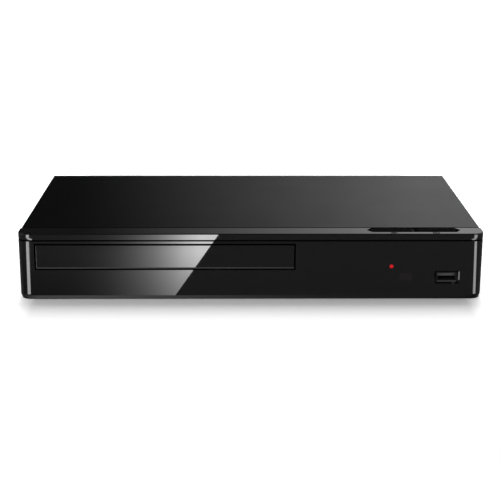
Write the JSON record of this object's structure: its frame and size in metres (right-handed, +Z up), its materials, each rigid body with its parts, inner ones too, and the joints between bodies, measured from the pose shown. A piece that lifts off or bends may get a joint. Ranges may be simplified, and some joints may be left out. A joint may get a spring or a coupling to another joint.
{
  "type": "disc player",
  "caption": "Slim black disc player with a motorised loading tray, gloss front with a data socket, top buttons, steel case and full disc drive inside.",
  "frame": {"origin": "on the floor, below the middle of the whole player", "axes": "+Z up, -Y towards the front, +X to the right seen from the front"},
  "size_m": [0.312, 0.18, 0.046],
  "materials": {
    "gloss_black": "gloss moulded plastic",
    "painted_steel": "satin powder coat",
    "zinc_steel": "zinc plated sheet",
    "rubber": "matt rubber",
    "screw_steel": "blackened steel",
    "black_plastic": "matt moulded plastic",
    "white_plastic": "natural acetal",
    "dark_window": "dark red filter",
    "red_lamp": "clear red light guide",
    "bright_steel": "ground steel",
    "motor_steel": "plated can",
    "cast_alloy": "die casting",
    "lens_glass": "coated lens",
    "board_green": "laminate with solder mask",
    "board_tan": "paper laminate",
    "chip_black": "epoxy",
    "sink_alloy": "black anodised",
    "can_sleeve": "shrink sleeve",
    "coil_tape": "tape",
    "copper_wire": "enamelled wire",
    "socket_shell": "nickel plated",
    "contact_brass": "plated brass",
    "cable_white": "flat cable",
    "flex_amber": "polyimide film",
    "magnet_grey": "nickel plated magnet"
  },
  "bodies": {
    "chassis": {"chassis_pan": "zinc_steel", "top_cover": "painted_steel", "front_panel": "gloss_black", "rubber_feet": "rubber", "cover_screws": "screw_steel", "remote_window": "dark_window", "loader_frame": "black_plastic", "clamper_bridge": "zinc_steel", "loading_motor": "motor_steel", "drive_belt": "rubber", "loader_screws": "screw_steel", "main_board": "board_green", "main_chips": "chip_black", "heat_sink": "sink_alloy", "board_capacitors": "can_sleeve", "video_socket": "socket_shell", "network_socket": "socket_shell", "audio_jack": "contact_brass", "power_board": "board_tan", "mains_inlet": "black_plastic", "mains_pins": "contact_brass", "power_transformer": "coil_tape", "mains_capacitor": "can_sleeve", "line_choke": "copper_wire", "front_board": "board_green", "front_data_socket": "socket_shell", "power_lamp": "red_lamp", "remote_receiver": "chip_black", "button_board": "board_tan", "tact_switches": "chip_black", "cable_connectors": "white_plastic", "flat_cables": "cable_white", "rear_panel": "zinc_steel", "pickup_flex": "flex_amber", "board_screws": "bright_steel"},
    "tray": {"disc_tray": "black_plastic", "tray_door": "gloss_black"},
    "tray_gear": {"tray_gear": "white_plastic"},
    "pulley_gear": {"pulley_gear": "white_plastic"},
    "motor_pulley": {"motor_pulley": "white_plastic"},
    "cam": {"cam_slider": "white_plastic"},
    "traverse": {"lift_frame": "black_plastic", "damper_bushes": "rubber", "traverse_plate": "zinc_steel", "guide_rods": "bright_steel", "spindle_motor": "motor_steel", "sled_motor": "motor_steel"},
    "sled": {"pickup_body": "cast_alloy", "screw_follower": "white_plastic"},
    "lens": {"lens_holder": "black_plastic", "objective_lens": "lens_glass"},
    "lead_screw": {"lead_screw": "bright_steel"},
    "spindle": {"turntable": "black_plastic", "turntable_pad": "rubber"},
    "clamper": {"clamper": "white_plastic", "clamper_magnet": "magnet_grey"},
    "open_button": {"open_button": "gloss_black", "open_plunger": "white_plastic"},
    "power_button": {"power_button": "gloss_black", "power_plunger": "white_plastic"}
  },
  "joints": [
    {"name": "tray_slide", "type": "slide", "parent": "chassis", "child": "tray", "axis": [0, -1, 0], "range_m": [0, 0.13]},
    {"name": "tray_gear_spin", "type": "hinge", "parent": "chassis", "child": "tray_gear", "pos_m": [-0.0216, -0.066, 0.0226], "axis": [0, 0, -1], "range_deg": [0, 625]},
    {"name": "pulley_gear_spin", "type": "hinge", "parent": "chassis", "child": "pulley_gear", "pos_m": [-0.0396, -0.066, 0.019], "axis": [0, 0, 1], "range_deg": [0, 1250]},
    {"name": "motor_spin", "type": "hinge", "parent": "chassis", "child": "motor_pulley", "pos_m": [-0.0756, -0.066, 0.018], "axis": [0, 0, 1], "range_deg": [0, 4730]},
    {"name": "traverse_tilt", "type": "hinge", "parent": "chassis", "child": "traverse", "pos_m": [-0.0576, 0.063, 0.0162], "axis": [1, 0, 0], "range_deg": [0, 3.07], "deforming": ["pickup_flex"]},
    {"name": "cam_slide", "type": "slide", "parent": "chassis", "child": "cam", "axis": [1, 0, 0], "range_m": [0, 0.0181]},
    {"name": "sled_slide", "type": "slide", "parent": "traverse", "child": "sled", "axis": [0, 1, 0], "range_m": [0, 0.034], "deforming": ["pickup_flex"]},
    {"name": "lead_screw_spin", "type": "hinge", "parent": "traverse", "child": "lead_screw", "pos_m": [-0.0331, 0.01, 0.014], "axis": [0, 1, 0], "range_deg": [0, 4100]},
    {"name": "lens_focus", "type": "slide", "parent": "sled", "child": "lens", "axis": [0, 0, 1], "range_m": [-0.0005, 0.0005], "stiffness_N_per_m": 40},
    {"name": "spindle_spin", "type": "hinge", "parent": "traverse", "child": "spindle", "pos_m": [-0.0576, -0.021, 0.027], "axis": [0, 0, 1], "continuous": true},
    {"name": "clamper_spin", "type": "hinge", "parent": "chassis", "child": "clamper", "pos_m": [-0.0576, -0.021, 0.033], "axis": [0, 0, 1], "continuous": true},
    {"name": "open_button_press", "type": "slide", "parent": "chassis", "child": "open_button", "axis": [0, 0, -1], "range_m": [0, 0.0006], "stiffness_N_per_m": 600},
    {"name": "power_button_press", "type": "slide", "parent": "chassis", "child": "power_button", "axis": [0, 0, -1], "range_m": [0, 0.0006], "stiffness_N_per_m": 600}
  ],
  "couplings": [
    {"joint": "tray_gear_spin", "follows": "tray_slide", "rad_per_m": 83.333},
    {"joint": "pulley_gear_spin", "follows": "tray_slide", "rad_per_m": 166.67},
    {"joint": "motor_spin", "follows": "tray_slide", "rad_per_m": 631.5},
    {"joint": "cam_slide", "follows": "traverse_tilt", "m_per_rad": 0.33584},
    {"joint": "lead_screw_spin", "follows": "sled_slide", "rad_per_m": 2094.4},
    {"joint": "clamper_spin", "follows": "spindle_spin", "ratio": 1}
  ]
}
